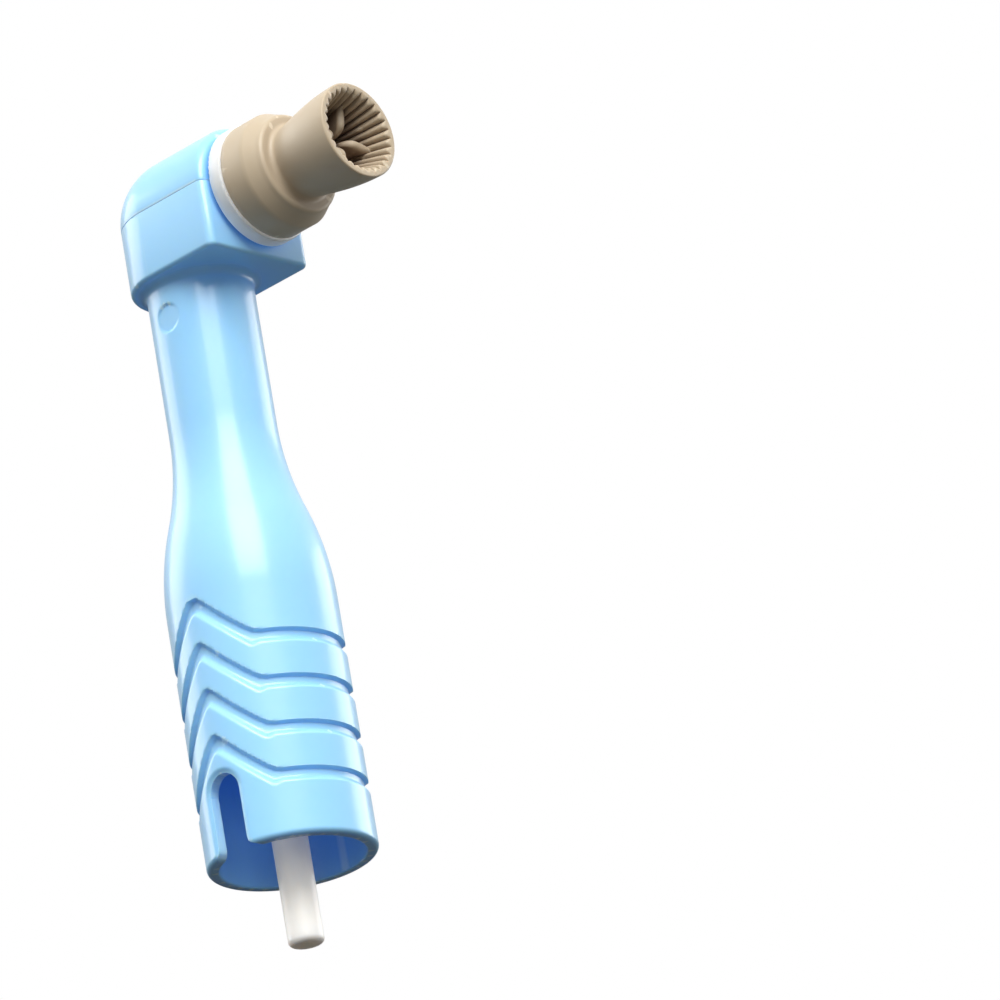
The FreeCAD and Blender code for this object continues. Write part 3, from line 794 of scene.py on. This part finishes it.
class PROPHY_OT_drive(bpy.types.Operator):
    """Give the drive shaft and the rotor their acetal finish"""
    bl_idname = "prophy.finish_drive"
    bl_label = "Finish shaft and rotor"

    def execute(self, context):
        for name in ("drive_shaft", "rotor"):
            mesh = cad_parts[name].data
            mesh.materials.clear()
            mesh.materials.append(finish_for("white_acetal"))
        return {"FINISHED"}


# Studio


def pale_world(scene):
    """White to the camera; for light, bright overhead and dim from below."""
    world = bpy.data.worlds.new("studio_light")
    world.use_nodes = True
    scene.world = world
    nodes, links = world.node_tree.nodes, world.node_tree.links
    nodes.clear()
    place = nodes.new("ShaderNodeTexCoord")
    split = nodes.new("ShaderNodeSeparateXYZ")
    height = nodes.new("ShaderNodeMapRange")
    height.inputs["From Min"].default_value = -0.05
    height.inputs["From Max"].default_value = 0.5
    height.inputs["To Min"].default_value = 0.035
    height.inputs["To Max"].default_value = 0.9
    lit = nodes.new("ShaderNodeBackground")
    seen = nodes.new("ShaderNodeBackground")
    seen.inputs["Strength"].default_value = 1.0
    path = nodes.new("ShaderNodeLightPath")
    mix = nodes.new("ShaderNodeMixShader")
    result = nodes.new("ShaderNodeOutputWorld")
    links.new(place.outputs["Generated"], split.inputs["Vector"])
    links.new(split.outputs["Z"], height.inputs["Value"])
    links.new(height.outputs["Result"], lit.inputs["Strength"])
    links.new(path.outputs["Is Camera Ray"], mix.inputs["Fac"])
    for background in (lit, seen):
        background.inputs["Color"].default_value = (1, 1, 1, 1)
    links.new(lit.outputs["Background"], mix.inputs[1])
    links.new(seen.outputs["Background"], mix.inputs[2])
    links.new(mix.outputs["Shader"], result.inputs["Surface"])


def floor_material():
    """Matt card: pale to the camera, dark to the light it would throw back, clear from underneath."""
    material = bpy.data.materials.new("pale_floor")
    material.use_nodes = True
    nodes, links = material.node_tree.nodes, material.node_tree.links
    shader = nodes["Principled BSDF"]
    shader.inputs["Roughness"].default_value = 0.9
    shader.inputs["Specular IOR Level"].default_value = 0.1
    grain = nodes.new("ShaderNodeTexNoise")
    grain.inputs["Scale"].default_value = 60
    tint = colour_mix(nodes, first=(0.90, 0.90, 0.90, 1), second=(0.93, 0.93, 0.92, 1))
    shade = colour_mix(nodes, first=(0.06, 0.056, 0.05, 1))
    path = nodes.new("ShaderNodeLightPath")
    side = nodes.new("ShaderNodeNewGeometry")
    clear = nodes.new("ShaderNodeBsdfTransparent")
    mix = nodes.new("ShaderNodeMixShader")
    links.new(grain.outputs["Fac"], tint.inputs["Factor"])
    links.new(path.outputs["Is Camera Ray"], shade.inputs["Factor"])
    links.new(tint.outputs["Result"], shade.inputs["B"])
    links.new(shade.outputs["Result"], shader.inputs["Base Color"])
    links.new(side.outputs["Backfacing"], mix.inputs["Fac"])
    links.new(shader.outputs["BSDF"], mix.inputs[1])
    links.new(clear.outputs["BSDF"], mix.inputs[2])
    links.new(mix.outputs["Shader"], nodes["Material Output"].inputs["Surface"])
    return material


def add_floor(studio):
    bm = bmesh.new()
    bmesh.ops.create_grid(bm, x_segments=8, y_segments=8, size=studio.floor_half)
    bmesh.ops.translate(bm, vec=(0, 0, SHANK_TIP - studio.floor_gap), verts=bm.verts)
    floor = object_from(bm, "floor")
    floor.data.materials.append(floor_material())


def camera_turn(studio):
    """Camera's rotation: looking at the aim from its azimuth and elevation, then rolled."""
    around, up = studio.azimuth, studio.elevation
    flat = math.cos(up)
    back = Vector((flat * math.cos(around), flat * math.sin(around), math.sin(up)))
    look = (-back).to_track_quat("-Z", "Y").to_matrix()
    return back, look @ Matrix.Rotation(studio.roll, 3, "Z")


def add_camera(studio):
    back, turn = camera_turn(studio)
    data = bpy.data.cameras.new("camera")
    data.lens = studio.lens
    data.sensor_width = 36
    data.clip_start, data.clip_end = 0.01, 20
    camera = bpy.data.objects.new("camera", data)
    place = Vector(studio.aim) + back * studio.distance
    camera.matrix_world = Matrix.Translation(place) @ turn.to_4x4()
    bpy.context.scene.collection.objects.link(camera)
    bpy.context.scene.camera = camera
    return turn


def add_softbox(name, turn, direction, distance, size, power, height=AXIS_Z / 2):
    """A square area light, hidden from the camera, aimed at a height on the handle's axis.

    Its direction is given as camera right, up and back.
    """
    data = bpy.data.lights.new(name, "AREA")
    data.shape = "SQUARE"
    data.size = size
    data.energy = power
    light = bpy.data.objects.new(name, data)
    towards = (turn @ Vector(direction)).normalized()
    centre = Vector((0, 0, height))
    look = (-towards).to_track_quat("-Z", "Y").to_matrix().to_4x4()
    light.matrix_world = Matrix.Translation(centre + towards * distance) @ look
    light.visible_camera = False
    bpy.context.scene.collection.objects.link(light)
    return light


class PROPHY_OT_studio(bpy.types.Operator):
    """Set the floor, the soft lights, the world and the camera"""
    bl_idname = "prophy.set_studio"
    bl_label = "Set studio"

    def execute(self, context):
        studio = context.scene.prophy_studio
        turn = add_camera(studio)
        add_floor(studio)
        pale_world(context.scene)
        add_softbox("key_light", turn, (0.0, 0.9, 0.45), 0.5, 0.32, 2.85)
        add_softbox("left_light", turn, (-1.0, 0.2, -0.6), 0.5, 0.3, 0.9)
        add_softbox("right_light", turn, (1.0, 0.15, -0.7), 0.5, 0.3, 1.0)
        shank = add_softbox("shank_light", turn, (-0.06, 0.45, 0.93), 0.045, 0.02, 0.004, height=0)
        shank.visible_glossy = False
        context.scene.view_settings.view_transform = "Standard"
        return {"FINISHED"}


class PROPHY_PT_panel(bpy.types.Panel):
    bl_label = "Prophy Angle"
    bl_idname = "PROPHY_PT_panel"
    bl_space_type = "VIEW_3D"
    bl_region_type = "UI"
    bl_category = "Prophy Angle"

    def draw(self, context):
        for operator in OPERATORS:
            self.layout.operator(operator.bl_idname)


OPERATORS = (PROPHY_OT_body, PROPHY_OT_cap, PROPHY_OT_cup, PROPHY_OT_drive, PROPHY_OT_studio)
GROUPS = {
    "prophy_housing": HousingSizes,
    "prophy_cup": CupSizes,
    "prophy_finishes": Finishes,
    "prophy_studio": Studio,
}


def register():
    for kind in (*GROUPS.values(), *OPERATORS, PROPHY_PT_panel):
        bpy.utils.register_class(kind)
    for name, group in GROUPS.items():
        setattr(bpy.types.Scene, name, PointerProperty(type=group))


def unregister():
    for name in GROUPS:
        delattr(bpy.types.Scene, name)
    for kind in (PROPHY_PT_panel, *reversed(OPERATORS), *reversed(GROUPS.values())):
        bpy.utils.unregister_class(kind)


def main():
    register()
    bpy.ops.prophy.build_body()
    bpy.ops.prophy.build_cap()
    bpy.ops.prophy.build_cup()
    bpy.ops.prophy.finish_drive()
    bpy.ops.prophy.set_studio()


if __name__ == "__main__":
    main()
